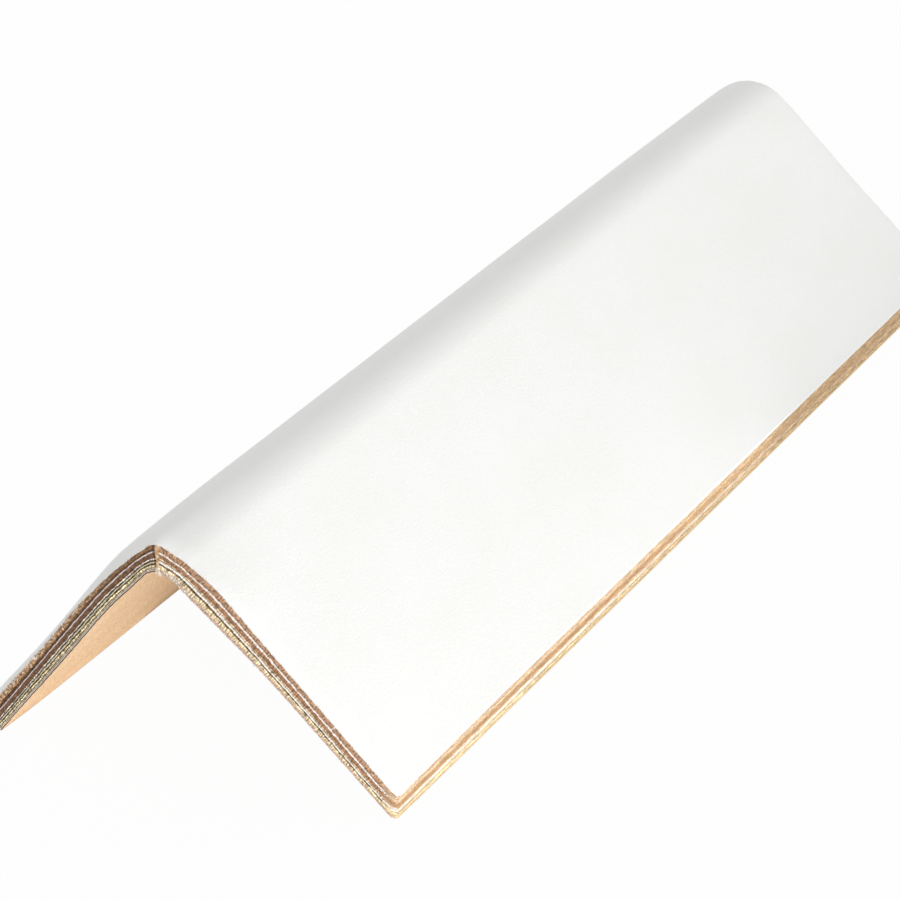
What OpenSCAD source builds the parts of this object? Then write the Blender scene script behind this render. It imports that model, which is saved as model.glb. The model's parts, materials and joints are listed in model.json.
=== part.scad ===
// Pallet edge protector: an angle of laminated paperboard.
// Nine sheets are pasted into one board, folded round a former, slit to
// width and cut to length. Each sheet follows its own radius at the fold,
// so the sheets slip past each other and the slit edges come out slanted.
// The angle stands as a tent, on its two slit edges, fold uppermost.
// X runs across the legs, Y along the fold and Z up. The origin is on the
// floor, midway between the slit edges and midway along the fold.

/* [Angle] */
// Width of a leg on its outer face, from the sharp corner to the slit edge
leg_width = 50; // [35:1:100]
// Length between the two cut ends
board_length = 183; // [60:1:1200]
// Angle between the two legs, in degrees
fold_angle = 87; // [75:0.5:105]
// Radius of the inner face at the fold
inside_radius = 4.5; // [2:0.5:12]
// Slant of the slit edges, in millimetres along the leg for each of depth
ply_slip = 0.7; // [0:0.05:1]

/* [Layers from the outside in] */
// White facing paper
white_liner_t = 0.4; // [0.15:0.05:0.8]
// Thick brown ply under the facing
outer_ply_t = 1.05; // [0.4:0.05:1.5]
// Pale ply that shows as the upper white line
pale_ply_t = 0.2; // [0.15:0.05:0.8]
// Second brown ply
second_ply_t = 0.7; // [0.3:0.05:1.5]
// Tan ply in the middle of the board
third_ply_t = 0.3; // [0.2:0.05:1]
// Cream ply that shows as the lower white line
cream_ply_t = 0.25; // [0.15:0.05:0.8]
// Dark brown ply
fourth_ply_t = 0.2; // [0.15:0.05:1]
// Thick tan ply on the inner side
inner_ply_t = 0.6; // [0.3:0.05:1.5]
// Kraft paper that lines the inside of the angle
kraft_liner_t = 0.3; // [0.15:0.05:0.8]

/* [Hidden] */

// Facets of the round stretches
$fn = 96;

// The fold, seen along its length
half_fold = fold_angle / 2;

// Depth of each layer's outer face below the outside of the board
outer_ply_depth = white_liner_t;
pale_ply_depth = outer_ply_depth + outer_ply_t;
second_ply_depth = pale_ply_depth + pale_ply_t;
third_ply_depth = second_ply_depth + second_ply_t;
cream_ply_depth = third_ply_depth + third_ply_t;
fourth_ply_depth = cream_ply_depth + cream_ply_t;
inner_ply_depth = fourth_ply_depth + fourth_ply_t;
kraft_liner_depth = inner_ply_depth + inner_ply_t;
board_t = kraft_liner_depth + kraft_liner_t;
outside_radius = inside_radius + board_t;

// Length of a leg's straight run at a depth in the board, from the fold to the slanted slit edge
function leg_run(depth) =
    leg_width - outside_radius / tan(half_fold) + ply_slip * depth;

// Height of the fold's centre: the lining's inner corners stand on the floor
fold_height = leg_run(board_t) * cos(half_fold) - inside_radius * sin(half_fold);

// The round of a half sheet runs past the crown, so that the two halves overlap there
half_sweep = 3 / 4 * (180 - fold_angle);

// Half the cross-section of one layer: the straight run of a leg with its slanted end, then its round
module half_section(depth, thickness) {
    outer_radius = outside_radius - depth;
    inner_radius = outer_radius - thickness;
    rotate(half_fold) {
        polygon([[inner_radius, 0], [inner_radius, -leg_run(depth + thickness)],
                 [outer_radius, -leg_run(depth)], [outer_radius, 0]]);
        intersection() {
            difference() {
                circle(outer_radius);
                circle(inner_radius);
            }
            polygon(2 * outer_radius * [[0, 0], [1, 0], [cos(half_sweep), sin(half_sweep)]]);
        }
    }
}

// One sheet of the board, folded: it lies on the sheet inside it, face to face
module folded_sheet(depth, thickness) {
    translate([0, board_length / 2, fold_height])
        rotate([90, 0, 0])
            linear_extrude(board_length)
                for (side = [0, 1])
                    mirror([side, 0])
                        half_section(depth, thickness);
}

module white_liner() {
    color("whitesmoke") folded_sheet(0, white_liner_t);
}

module outer_ply() {
    color("sienna") folded_sheet(outer_ply_depth, outer_ply_t);
}

module pale_ply() {
    color("linen") folded_sheet(pale_ply_depth, pale_ply_t);
}

module second_ply() {
    color("peru") folded_sheet(second_ply_depth, second_ply_t);
}

module third_ply() {
    color("burlywood") folded_sheet(third_ply_depth, third_ply_t);
}

module cream_ply() {
    color("oldlace") folded_sheet(cream_ply_depth, cream_ply_t);
}

module fourth_ply() {
    color("saddlebrown") folded_sheet(fourth_ply_depth, fourth_ply_t);
}

module inner_ply() {
    color("tan") folded_sheet(inner_ply_depth, inner_ply_t);
}

module kraft_liner() {
    color("navajowhite") folded_sheet(kraft_liner_depth, kraft_liner_t);
}

white_liner();
outer_ply();
pale_ply();
second_ply();
third_ply();
cream_ply();
fourth_ply();
inner_ply();
kraft_liner();
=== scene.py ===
# %% [markdown]
# # A pallet edge protector in laminated paperboard
#
# The object is an angle of pasted sheets: white facing paper outside, brown and pale plies between, and a
# kraft lining inside. It stands as a tent on its two slit edges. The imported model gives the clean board.
# This lesson models what the cutter and the paper add: the crushed crown at the cut end, the ragged plies,
# the loose fibres and the finish of each paper.

# %% Load the frame
import functools
import json
import math
import random

import bmesh
import bpy
from mathutils import Matrix, Vector, noise


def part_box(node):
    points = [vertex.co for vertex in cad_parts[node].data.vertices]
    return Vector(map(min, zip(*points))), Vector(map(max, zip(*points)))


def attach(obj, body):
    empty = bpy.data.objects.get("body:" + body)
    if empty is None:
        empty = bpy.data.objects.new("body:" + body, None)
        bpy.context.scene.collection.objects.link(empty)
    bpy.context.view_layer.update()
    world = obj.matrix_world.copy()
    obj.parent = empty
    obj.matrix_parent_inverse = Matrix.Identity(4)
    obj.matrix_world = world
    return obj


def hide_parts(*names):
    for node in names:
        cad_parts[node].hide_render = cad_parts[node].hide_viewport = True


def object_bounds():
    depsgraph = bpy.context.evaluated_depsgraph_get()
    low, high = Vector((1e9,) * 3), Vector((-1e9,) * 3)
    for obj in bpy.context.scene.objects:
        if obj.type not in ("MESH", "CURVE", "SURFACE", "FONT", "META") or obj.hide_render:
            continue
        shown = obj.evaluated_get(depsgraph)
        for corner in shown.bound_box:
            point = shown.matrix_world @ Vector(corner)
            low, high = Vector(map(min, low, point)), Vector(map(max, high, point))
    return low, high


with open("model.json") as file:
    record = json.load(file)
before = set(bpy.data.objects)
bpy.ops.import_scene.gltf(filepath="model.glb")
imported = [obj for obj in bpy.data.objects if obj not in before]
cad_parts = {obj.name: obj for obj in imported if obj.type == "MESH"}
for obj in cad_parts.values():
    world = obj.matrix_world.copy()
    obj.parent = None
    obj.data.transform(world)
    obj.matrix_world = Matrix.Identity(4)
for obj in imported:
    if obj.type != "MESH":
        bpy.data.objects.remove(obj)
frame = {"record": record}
cad_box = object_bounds()
MM = 0.001
NEAR = cad_box[0][1]
FAR = cad_box[1][1]
FLOOR = cad_box[0][2]
LENGTH = FAR - NEAR
print("board length in mm", round(LENGTH / MM, 2))

# %% [markdown]
# ## The section, read from the frame
#
# Two mounts lie on the right leg's inner and outer face. Their normal gives the fold's angle, and the
# distance between them the board's thickness. The lining's radius then puts the centre that all the sheets
# bend round. The top of each node gives the depth of its sheet, and its reach the length of its leg.

# %% The fold's section
INSIDE_RADIUS = 4.5 * MM
mounts = {mount["name"]: mount for mount in frame["record"]["mounts"]}
LEG_OUT = Vector(mounts["outer_right"]["axis"])
LEG_DOWN = Vector((LEG_OUT.z, 0.0, -LEG_OUT.x))
HALF_FOLD = math.atan2(LEG_OUT.z, LEG_OUT.x)
HALF_SWEEP = math.pi / 2 - HALF_FOLD
inner_plane = Vector(mounts["inner_right"]["pos_m"]).dot(LEG_OUT)
outer_plane = Vector(mounts["outer_right"]["pos_m"]).dot(LEG_OUT)
BOARD = outer_plane - inner_plane
OUTSIDE_RADIUS = INSIDE_RADIUS + BOARD
MIDDLE_RADIUS = INSIDE_RADIUS + BOARD / 2
CENTRE = Vector((0.0, 0.0, (inner_plane - INSIDE_RADIUS) / LEG_OUT.z))
SHOULDER = HALF_SWEEP * MIDDLE_RADIUS
print("fold in degrees", round(2 * math.degrees(HALF_FOLD), 2), "board in mm", round(BOARD / MM, 3))
print("centre in mm", round(CENTRE.z / MM, 3), "shoulder in mm from the crown", round(SHOULDER / MM, 2))

# %% The sheets from the outside in
SHEETS = (
    "white_liner", "outer_ply", "pale_ply", "second_ply", "third_ply", "cream_ply", "fourth_ply",
    "inner_ply", "kraft_liner",
)
DEPTHS = {node: OUTSIDE_RADIUS - (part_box(node)[1].z - CENTRE.z) for node in SHEETS}


def leg_run(node):
    """The straight run of a sheet's outer face, from the fold to the slit edge."""
    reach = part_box(node)[1].x
    return (reach - (OUTSIDE_RADIUS - DEPTHS[node]) * math.cos(HALF_FOLD)) / math.sin(HALF_FOLD)


LEG_RUN = leg_run(SHEETS[0])
lower_faces = [*DEPTHS.values()][1:] + [BOARD]
THICKNESS = {node: lower - DEPTHS[node] for node, lower in zip(SHEETS, lower_faces)}
SLANT = (leg_run(SHEETS[-1]) - LEG_RUN) / DEPTHS[SHEETS[-1]]


def tip_at(depth):
    """How far from the crown the slanted slit edge lies, at a depth in the board."""
    return SHOULDER + LEG_RUN + SLANT * depth


print("slant of the slit edge", round(SLANT, 3))
print("depths in mm", [round(depth / MM, 2) for depth in DEPTHS.values()])

# %% [markdown]
# ## Sheet coordinates
#
# Paper has its own directions: along the section, along the board, and down through the thickness. Every
# vertex keeps them as an attribute, measured before any bending or wear. The sculpting reads them, and so
# do the materials, so a streak follows the fold as the fibres do.


# %% From space to sheet coordinates and back
def sheet_coordinates(point):
    """Along the section from the crown, along the board from the near end, and depth below the face."""
    side = 1.0 if point.x >= 0 else -1.0
    offset = Vector((abs(point.x), 0.0, point.z)) - CENTRE
    down = offset.dot(LEG_DOWN)
    if down >= 0:
        return Vector((side * (SHOULDER + down), point.y - NEAR, OUTSIDE_RADIUS - offset.dot(LEG_OUT)))
    angle = math.atan2(offset.x, offset.z)
    return Vector((side * angle * MIDDLE_RADIUS, point.y - NEAR, OUTSIDE_RADIUS - offset.length))


def outward(along):
    """The outward normal of the section at one place along it."""
    angle = max(-HALF_SWEEP, min(HALF_SWEEP, along / MIDDLE_RADIUS))
    return Vector((math.sin(angle), 0.0, math.cos(angle)))


def down_leg(along):
    """The direction away from the crown, along the section."""
    normal = outward(along)
    return math.copysign(1.0, along) * Vector((normal.z, 0.0, -normal.x))


def on_section(along, depth):
    """A point of the clean section, from its place along it and its depth."""
    past = max(0.0, abs(along) - SHOULDER)
    return CENTRE + (OUTSIDE_RADIUS - depth) * outward(along) + past * down_leg(along)


print("crown in mm above the floor", round((on_section(0.0, 0.0).z - FLOOR) / MM, 2))


# %% Smooth changes
def smooth_step(low, high, value):
    """0 below low, 1 above high, and a smooth rise between."""
    share = max(0.0, min(1.0, (value - low) / (high - low)))
    return share * share * (3 - 2 * share)


def hump(half_width, value):
    """A smooth bump, 1 at zero and 0 past its half width."""
    return smooth_step(0.0, 1.0, 1.0 - abs(value) / half_width)


def fade(distance, length):
    """1 at the cut, easing to 0 at some length from it."""
    return (1.0 - min(1.0, distance / length)) ** 2


def slope(points, index):
    """The slope of a curve at one of its points, level at both ends."""
    if index in (0, len(points) - 1):
        return 0.0
    before, after = points[index - 1], points[index + 1]
    return (after[1] - before[1]) / (after[0] - before[0])


def curve(points, place):
    """A smooth curve through a few points, level outside them."""
    if place <= points[0][0]:
        return points[0][1]
    if place >= points[-1][0]:
        return points[-1][1]
    index = next(number for number, point in enumerate(points) if place < point[0])
    (start, low), (end, high) = points[index - 1], points[index]
    width = end - start
    share = (place - start) / width
    rest = 1.0 - share
    level = low * (1 + 2 * share) * rest ** 2 + high * (3 - 2 * share) * share ** 2
    return level + width * share * rest * (slope(points, index - 1) * rest - slope(points, index) * share)


print("a smooth step, a third of the way along", round(smooth_step(0.0, 3.0, 1.0), 3))

# %% [markdown]
# ## The cut end
#
# The cutter pressed the board as it sheared it. Four lines of the cut end show by how much: the edge of the
# facing, the upper and the lower white line, and the lining. For each, a curve through a few places gives
# the push inwards, in millimetres, against the place along the section, in millimetres from the crown with
# the left side negative. The blade pinched the facing paper itself thinner. Most of the push is a roll-over
# that dies out within a few millimetres. The pointed crown dies out slowly along the fold. The facing of
# the left leg stands a little outwards behind the cut. At the far end the cut is cleaner, and the crown
# leans to the right.

# %% How far the cutter pushed each line inwards
FACING_EDGE = ((-46, -0.05), (-31, 0.2), (-20, 0.25), (-14, 0.6), (-9, 1.05), (-4, 1.65), (-2, 1.3),
               (0, 0.5), (2.5, 0.95), (4.5, 0.8), (8, 0.1), (12, -0.1), (19, 0.1), (34, 0.35), (45, 0.5))
PINCH = 0.14
UPPER_LINE = ((-31, 0.13), (-20, 0.2), (-13, 0.37), (-8, 0.77), (-4, 1.15), (-2, 0.9), (0, 0.3),
              (2.8, 0.75), (5, 0.55), (9, -0.05), (13, -0.3), (25, -0.2), (45, 0.25))
LOWER_LINE = ((-31, -0.05), (-20, 0.05), (-13, 0.25), (-8, 0.7), (-4, 1.0), (-2, 0.85), (0, 0.6),
              (3, 0.8), (6, 0.5), (10, 0.15), (16, 0.0), (30, 0.05), (45, 0.3))
LINING = ((-45, -0.22), (-31, 0.0), (-15, 0.15), (-10, 0.55), (-5, 0.9), (-2.5, 1.0), (0, 1.0),
          (2.2, 1.4), (5, 1.3), (12, 0.8), (19, 0.35), (25, 0.1), (37, 0.15), (47, 0.1))
LINES = (FACING_EDGE, UPPER_LINE, LOWER_LINE, LINING)
LINE_DEPTHS = [0.0, DEPTHS["outer_ply"], DEPTHS["pale_ply"], DEPTHS["cream_ply"], BOARD]


@functools.lru_cache(maxsize=None)
def pushes(place):
    """The pushes at the cut, of the facing's outer face and of the four lines, at one place."""
    lines = [curve(points, place) for points in LINES]
    return [lines[0] + PINCH] + lines


def at_depth(values, depth):
    """A value between the two lines that a depth lies between."""
    for index in range(len(LINE_DEPTHS) - 1):
        low, high = LINE_DEPTHS[index], LINE_DEPTHS[index + 1]
        if depth <= high:
            share = max(0.0, (depth - low) / (high - low))
            return values[index] + share * (values[index + 1] - values[index])
    return values[len(LINE_DEPTHS) - 1]


print("pushes in mm on the left shoulder", [round(push, 2) for push in pushes(-4.0)])

# %% The press at the near end
POINTED = ((-20, 0.0), (-9, 0.1), (-4.5, 0.4), (-2, 0.3), (0, 0.1), (2.2, 0.5), (4.5, 0.4), (8, 0.0),
           (12, -0.25), (19, -0.05), (34, 0.2), (45, 0.35))
SPLAYED = ((-46, 0.9), (-40, 0.68), (-34, 0.46), (-28, 0.32), (-22, 0.28), (-14, 0.37), (-9, 0.26),
           (-5.5, 0.07), (-3, 0.0))
ROLL_LENGTH = 2.8 * MM
FAN_LENGTH = 12.0 * MM
POINT_LENGTH = 26.0 * MM
SPLAY_LENGTH = 60.0 * MM


@functools.lru_cache(maxsize=None)
def shape_behind(place):
    """The inward push of the pointed crown and the outward push of the splayed leg, at one place."""
    return curve(POINTED, place), curve(SPLAYED, place)


def near_press(along, distance, depth):
    """Inward push at the near end."""
    if distance > SPLAY_LENGTH:
        return 0.0
    place = round(along / MM, 2)
    crown, splay = shape_behind(place)
    share = depth / BOARD
    pointed = (1 - share) * crown
    reach = ROLL_LENGTH + share * (FAN_LENGTH - ROLL_LENGTH)
    rolled = (at_depth(pushes(place), depth) - pointed) * fade(distance, reach)
    behind = smooth_step(0.0, ROLL_LENGTH, distance)
    splayed = (1 - share) * splay * behind * fade(distance, SPLAY_LENGTH)
    return MM * (pointed * fade(distance, POINT_LENGTH) + rolled - splayed)


print("press on the left shoulder", round(near_press(-4 * MM, 0.0, 0.0) / MM, 2), "mm")

# %% The press at the far end
LEANING = ((-20, 0.0), (-12, 0.22), (-6, 0.38), (-2, 0.12), (0, 0.0), (4, -0.3), (8, -0.4), (14, -0.25),
           (26, 0.0))
FAR_ROLL = 0.18
FAR_CROWN = 0.12
FAR_CROWN_WIDTH = 12.0
FAR_LINING = 0.30
FAR_LINING_WIDTH = 10.0


def far_press(along, distance, depth):
    """Inward push at the far end."""
    if distance > SPLAY_LENGTH:
        return 0.0
    place = along / MM
    share = depth / BOARD
    crown = FAR_CROWN * hump(FAR_CROWN_WIDTH, place) * fade(distance, FAN_LENGTH)
    outer = FAR_ROLL * fade(distance, ROLL_LENGTH) + crown
    inner = FAR_LINING * hump(FAR_LINING_WIDTH, place) * fade(distance, FAN_LENGTH)
    lean = curve(LEANING, round(place, 2)) * fade(distance, SPLAY_LENGTH)
    return MM * ((1 - share) * outer + share * inner + lean)


print("press on the far crown", round(far_press(0.0, 0.0, 0.0) / MM, 2), "mm")

# %% [markdown]
# ## One folded sheet
#
# A sheet starts as one short edge across its thickness, at the left slit edge. Extruding that edge makes
# the left leg, a spin round the fold's centre makes the round, and more extruding the right leg. That strip
# is then extruded along the board. Steps are short near the cut ends and the slit edges, where the paper is
# worn. Last, the tips are sheared to the slant of the slit edge.

# %% Steps along a leg and along the board
TIP_STEPS = [0.12, 0.25, 0.5]
END_STEPS = [0.14, 0.2, 0.35, 0.5, 0.7, 0.9, 1.3, 2.0, 3.0, 4.0, 5.0, 6.0]
LEG_STEP = 1.5 * MM
BOARD_STEP = 5.0 * MM
BEND_STEPS = 20


def graded(total, fine, step, both):
    """Steps that add up to a total, with fine ones at its start and, if asked, at its end too."""
    start = [value * MM for value in fine]
    end = start[::-1] if both else []
    rest = total - sum(start) - sum(end)
    count = max(1, round(rest / step))
    return start + [rest / count] * count + end


print("steps along the board", len(graded(LENGTH, END_STEPS, BOARD_STEP, True)))


# %% Fold a strip and sweep it along the board
def extrude_row(bm, edges, move):
    """Extrudes a row of edges and moves the new row."""
    made = bmesh.ops.extrude_edge_only(bm, edges=edges)["geom"]
    bmesh.ops.translate(bm, verts=[g for g in made if isinstance(g, bmesh.types.BMVert)], vec=move)
    return [g for g in made if isinstance(g, bmesh.types.BMEdge) and not g.is_wire
            and len(g.link_faces) == 1 and all(v in made for v in g.verts)]


def folded_strip(bm, outer_radius, thickness, run, rows):
    """The sheet's section as a strip of faces in the near end's plane."""
    left_out = Vector((-LEG_OUT.x, 0.0, LEG_OUT.z))
    left_down = Vector((-LEG_DOWN.x, 0.0, LEG_DOWN.z))
    foot = CENTRE + Vector((0.0, NEAR, 0.0)) + run * left_down
    ends = [bm.verts.new(foot + radius * left_out) for radius in (outer_radius - thickness, outer_radius)]
    first = bm.edges.new(ends)
    bmesh.ops.subdivide_edges(bm, edges=[first], cuts=rows - 1)
    row = bm.edges[:]
    steps = graded(run, TIP_STEPS, LEG_STEP, False)
    for step in steps:
        row = extrude_row(bm, row, -step * left_down)
    corners = list(dict.fromkeys(v for e in row for v in e.verts))
    turned = bmesh.ops.spin(bm, geom=row + corners, cent=CENTRE, axis=(0, 1, 0), angle=2 * HALF_SWEEP,
                            steps=BEND_STEPS)["geom_last"]
    row = [g for g in turned if isinstance(g, bmesh.types.BMEdge)]
    for step in steps[::-1]:
        row = extrude_row(bm, row, step * LEG_DOWN)


def sweep_along_board(bm):
    """Extrudes the strip along the board into a closed sheet."""
    faces = bm.faces[:]
    for step in graded(LENGTH, END_STEPS, BOARD_STEP, True):
        made = bmesh.ops.extrude_face_region(bm, geom=faces)["geom"]
        moved = [g for g in made if isinstance(g, bmesh.types.BMVert)]
        bmesh.ops.translate(bm, verts=moved, vec=(0, step, 0))
        faces = [g for g in made if isinstance(g, bmesh.types.BMFace)]
    bmesh.ops.recalc_face_normals(bm, faces=bm.faces[:])


trial = bmesh.new()
folded_strip(trial, OUTSIDE_RADIUS, BOARD, LEG_RUN, 1)
print("faces round the section", len(trial.faces))
trial.free()

# %% Refine the cut ends and slant the tips
SHORTEST = 0.3 * MM
LEVEL = 1e-7
MOSTLY_THROUGH = 0.6
SHEAR_LENGTH = 4.0 * MM


def refine_ends(bm, zone, cuts):
    """Splits the edges that run along the section close to either cut."""
    def close(vert):
        return vert.co.y < NEAR + zone or vert.co.y > FAR - zone

    def across(edge):
        move = edge.verts[1].co - edge.verts[0].co
        through = move.dot(outward(sheet_coordinates(edge.verts[0].co).x))
        return abs(move.y) < LEVEL and abs(through) < MOSTLY_THROUGH * move.length
    edges = [e for e in bm.edges if all(close(v) for v in e.verts) and e.calc_length() > SHORTEST
             and across(e)]
    bmesh.ops.subdivide_edges(bm, edges=edges, cuts=cuts, use_grid_fill=True)


def shear_tips(bm, middle, run):
    """Slants both slit edges: what lies deeper than the sheet's middle moves down the leg, the rest up."""
    for vert in bm.verts:
        sheet = sheet_coordinates(vert.co)
        hold = smooth_step(SHOULDER + run - SHEAR_LENGTH, SHOULDER + run, abs(sheet.x))
        if hold > 0:
            vert.co += hold * SLANT * (sheet.z - middle) * down_leg(sheet.x)


print("the slit edge runs further on the inside by mm", round(SLANT * BOARD / MM, 2))

# %% [markdown]
# ## Wear on a sheet
#
# The clean sheet is now sculpted vertex by vertex. The crush bends all sheets alike, so they stay face to
# face. The cut is ragged: each ply stands a little proud of its neighbour or behind it, and its edge
# wanders. The slit edges wander too, but less, because a running knife made them. On the cut the lines
# between the plies waver. The corner of the right leg is rounded on the inside and frayed on the outside,
# where the slit edge runs a little long.


# %% Ragged edges
def ragged(place, scale):
    """Noise from about -1 to 1 at a given size in space."""
    return noise.noise(place / scale)


def teeth(place, sizes):
    """Noise at several sizes, each with its height and its size in millimetres."""
    return sum(height * ragged(place, size * MM) for height, size in sizes)


print("noise 2.5 mm from the crown", round(ragged(Vector((2.5 * MM, 0.0, 0.0)), MM), 3))


# %% The right corner at the near end
FRAYED = 0.8 * MM
FRAY_SIZE = 0.4 * MM
ROUNDED = 1.1 * MM


def fray(sheet):
    """How much of the outer right corner is rubbed away at a point."""
    if sheet.x < 0:
        return 0.0
    distance = math.hypot(sheet.y, tip_at(sheet.z) - sheet.x)
    loss = max(0.0, FRAYED - distance) * (1.0 - 0.5 * sheet.z / BOARD)
    return loss * (0.5 + 0.5 * ragged(sheet, FRAY_SIZE))


def rounding(sheet):
    """The moves up the leg and along the board that round the right corner, most on the inside."""
    radius = ROUNDED * sheet.z / BOARD
    up = radius - (tip_at(sheet.z) - sheet.x)
    back = radius - sheet.y
    reach = math.hypot(up, back)
    if sheet.x < 0 or up <= 0 or back <= 0 or reach <= radius:
        return 0.0, 0.0
    share = (reach - radius) / reach
    return share * up, share * back


inmost_corner = Vector((tip_at(BOARD), 0.0, BOARD))
print("the inside corner moves by mm", [round(move / MM, 2) for move in rounding(inmost_corner)])

# %% Sculpt the wear
RAG_ZONE = 0.75 * MM
CUT_TEETH = ((0.45, 1.7), (0.4, 0.55), (0.3, 0.22))
LINE_RAG = 0.07 * MM
LINE_TEETH = ((1.0, 0.9), (0.7, 0.35))
LINE_DRIFT = 0.4
SLIT_ZONE = 0.6 * MM
SLIT_RAG = 0.07 * MM
SLIT_TEETH = ((0.6, 3.5), (0.4, 1.1))
LONGER = 0.4 * MM
LONGER_FOR = 45 * MM
WANDER = 0.05 * MM
WANDER_SIZE = 22 * MM
FRAY_BACK = 0.5
FRAY_UP = 0.6


def ragged_cut(sheet, spot, distance, side, stand_proud, raggedness):
    """The move of a point close to a cut: out or in along the board, and across the waving lines."""
    hold = smooth_step(RAG_ZONE, 0.0, distance)
    if hold <= 0:
        return Vector()
    line = Vector((sheet.x, 0.0, LINE_DRIFT * sheet.z))
    move = hold * LINE_RAG * teeth(line, LINE_TEETH) * outward(sheet.x)
    move.y += side * hold * (stand_proud + raggedness * teeth(spot, CUT_TEETH))
    return move


def ragged_slit(sheet, spot):
    """The move of a point close to a slit edge, up or down the leg."""
    tip = tip_at(sheet.z)
    hold = smooth_step(tip - SLIT_ZONE, tip, abs(sheet.x))
    if hold <= 0:
        return Vector()
    longer = LONGER * (1 - sheet.z / BOARD) * fade(sheet.y, LONGER_FOR) if sheet.x > 0 else 0.0
    return hold * (SLIT_RAG * teeth(spot, SLIT_TEETH) + longer) * down_leg(sheet.x)


def wear(bm, stand_proud, raggedness, salt):
    """Moves every vertex by the press, the ragged cuts, the slit edges and the worn corner."""
    for vert in bm.verts:
        sheet = sheet_coordinates(vert.co)
        near = sheet.y
        far = LENGTH - sheet.y
        spot = sheet + Vector((0.0, 0.0, salt))
        push = near_press(sheet.x, near, sheet.z) + far_press(sheet.x, far, sheet.z)
        push += WANDER * ragged(Vector((sheet.x, sheet.y, 0.0)), WANDER_SIZE)
        move = -push * outward(sheet.x)
        for distance, side in ((near, -1.0), (far, 1.0)):
            move += ragged_cut(sheet, spot, distance, side, stand_proud, raggedness)
        move += ragged_slit(sheet, spot)
        loss = fray(sheet)
        up, back = rounding(sheet)
        move += Vector((0.0, back + FRAY_BACK * loss, 0.0)) - (up + FRAY_UP * loss) * down_leg(sheet.x)
        vert.co += move
        vert.co.z = max(FLOOR, vert.co.z)


print("ragged zones in mm", round(RAG_ZONE / MM, 2), "at a cut", round(SLIT_ZONE / MM, 2), "at a slit")

# %% [markdown]
# ## Finishes
#
# All the papers share one recipe: a base colour, streaks and specks of fibre in sheet coordinates, and a
# fine bump. A second attribute, edge, says how deep a point lies in its own ply, from 0 to 1, and how far
# it is from the slit edge and from the cut. With it a finish can change where the paper was cut.


# %% Node helpers
def add(tree, kind, inputs=None, **settings):
    """Adds a shader node, sets its properties, and fills its inputs with values or links."""
    node = tree.nodes.new("ShaderNode" + kind)
    for name, value in settings.items():
        setattr(node, name, value)
    for name, value in (inputs or {}).items():
        if isinstance(value, bpy.types.NodeSocket):
            tree.links.new(value, node.inputs[name])
        else:
            node.inputs[name].default_value = value
    return node


def combine(tree, operation, first, second):
    """One sum, product or other step on two values."""
    return add(tree, "Math", {0: first, 1: second}, operation=operation).outputs[0]


def between(tree, value, low, high, to_low=0.0, to_high=1.0):
    """A value carried from one range to another, with both ends held."""
    node = add(tree, "MapRange", {"Value": value, "From Min": low, "From Max": high,
                                            "To Min": to_low, "To Max": to_high})
    return node.outputs[0]


def tint(tree, factor, first, second):
    """Mixes two colours, or a colour with a link, by a factor."""
    node = add(tree, "Mix", data_type="RGBA")
    for index, value in ((0, factor), (6, first), (7, second)):
        if isinstance(value, bpy.types.NodeSocket):
            tree.links.new(value, node.inputs[index])
        elif index == 0:
            node.inputs[index].default_value = value
        else:
            node.inputs[index].default_value = (*value, 1.0)
    return node.outputs[2]


# %% Paper helpers
def new_paper(name, roughness, specular):
    """A new material with its tree and its shader."""
    material = bpy.data.materials.new(name)
    material.use_nodes = True
    shader = material.node_tree.nodes["Principled BSDF"]
    shader.inputs["Roughness"].default_value = roughness
    shader.inputs["Specular IOR Level"].default_value = specular
    return material, material.node_tree, shader


def read_mark(tree, name):
    """A vector attribute of the piece, carried to millimetres, with its three parts."""
    mark = add(tree, "Attribute", attribute_name=name).outputs["Vector"]
    scaled = add(tree, "VectorMath", {0: mark, 1: (1 / MM,) * 3}, operation="MULTIPLY")
    parts = add(tree, "SeparateXYZ", {0: scaled.outputs[0]})
    return scaled.outputs[0], parts.outputs["X"], parts.outputs["Y"], parts.outputs["Z"]


def fibre_noise(tree, sheet, size, detail=3.0):
    """Noise in sheet coordinates, with one size in millimetres for each direction of the sheet."""
    scale = tuple(1.0 / value for value in size)
    spread = add(tree, "VectorMath", {0: sheet, 1: scale}, operation="MULTIPLY")
    noise_inputs = {"Vector": spread.outputs[0], "Scale": 1.0, "Detail": detail}
    return add(tree, "TexNoise", noise_inputs).outputs["Fac"]


def emboss(tree, shader, height, distance, strength):
    """Feeds a height into the shader's normal."""
    bump = add(tree, "Bump", {"Height": height, "Distance": distance, "Strength": strength})
    tree.links.new(bump.outputs[0], shader.inputs["Normal"])


def near_cut(tree, board):
    """1 on the near cut end."""
    return between(tree, board, 1.8, 0.5)


def pressed_and_shaded_half(tree, along, board):
    """1 on the left half of the near cut end: pressed by the cutter, and painted darker as painted shade."""
    return combine(tree, "MULTIPLY", between(tree, along, 0.3, -0.3), near_cut(tree, board))


# %% [markdown]
# The facing paper is a smooth, nearly white sheet with a satin finish. Close up it has faint clouds, and a
# fine tooth that runs with the board. Its cut edge is nearly as white, and painted grey as painted shade on
# the pressed half.

# %% White facing paper
PAPER_WHITE = (0.93, 0.93, 0.915)
PAPER_CLOUD = (0.905, 0.907, 0.883)
PAPER_EDGE = (0.92, 0.91, 0.89)
# Painted shade: the grey of the facing's cut edge on the left half of the near end.
PAINTED_SHADE_EDGE = (0.80, 0.79, 0.745)
TOOTH_HEIGHT = 0.052 * MM


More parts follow.
